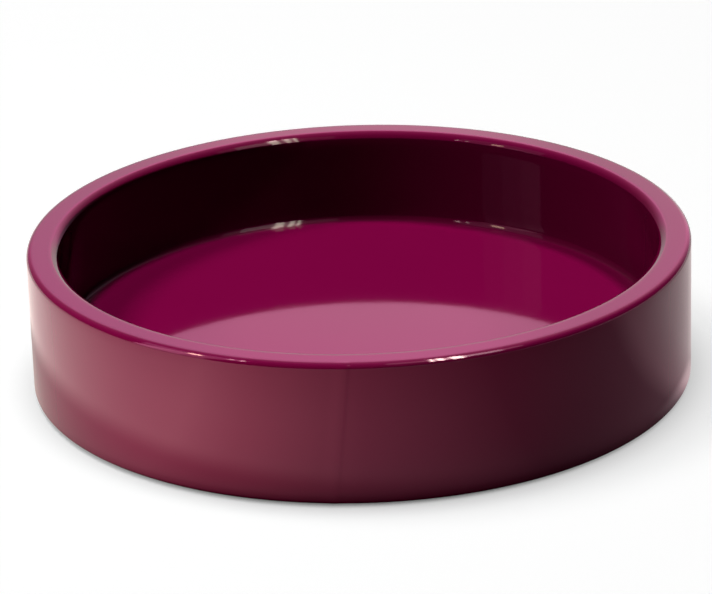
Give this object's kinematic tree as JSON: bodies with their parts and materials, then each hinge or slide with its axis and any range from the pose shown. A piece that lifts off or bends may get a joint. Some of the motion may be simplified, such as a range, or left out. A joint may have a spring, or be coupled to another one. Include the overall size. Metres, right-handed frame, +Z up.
{
  "type": "round tray",
  "caption": "Round straight-sided lacquered tray: a thick bent hoop wall with eased edges round a flat recessed floor, standing on thin felt pads.",
  "frame": {"origin": "centre of the footprint, on the surface that the tray stands on", "axes": "+Z up along the tray's axis, -Y towards the side that the picture shows in front, +X to its right"},
  "size_m": [0.25, 0.25, 0.055],
  "materials": {
    "lacquer": "deep plum-magenta lacquer, polished to a mirror gloss",
    "bent_wood": "bare bent ply strip, hidden",
    "board": "bare fibre board, hidden",
    "filler": "sanded filler, hidden",
    "felt": "dark pressed felt",
    "pad_felt": "dark pressed felt, die cut"
  },
  "bodies": {
    "root": {"lacquer_shell": "lacquer", "outer_hoop_strip": "bent_wood", "seam_filler": "filler", "middle_hoop_strip": "bent_wood", "inner_hoop_strip": "bent_wood", "floor_panel": "board", "floor_ledge": "bent_wood", "corner_bead": "filler", "underside_felt": "felt", "foot_pad_1": "pad_felt", "foot_pad_2": "pad_felt", "foot_pad_3": "pad_felt", "foot_pad_4": "pad_felt"}
  },
  "joints": []
}
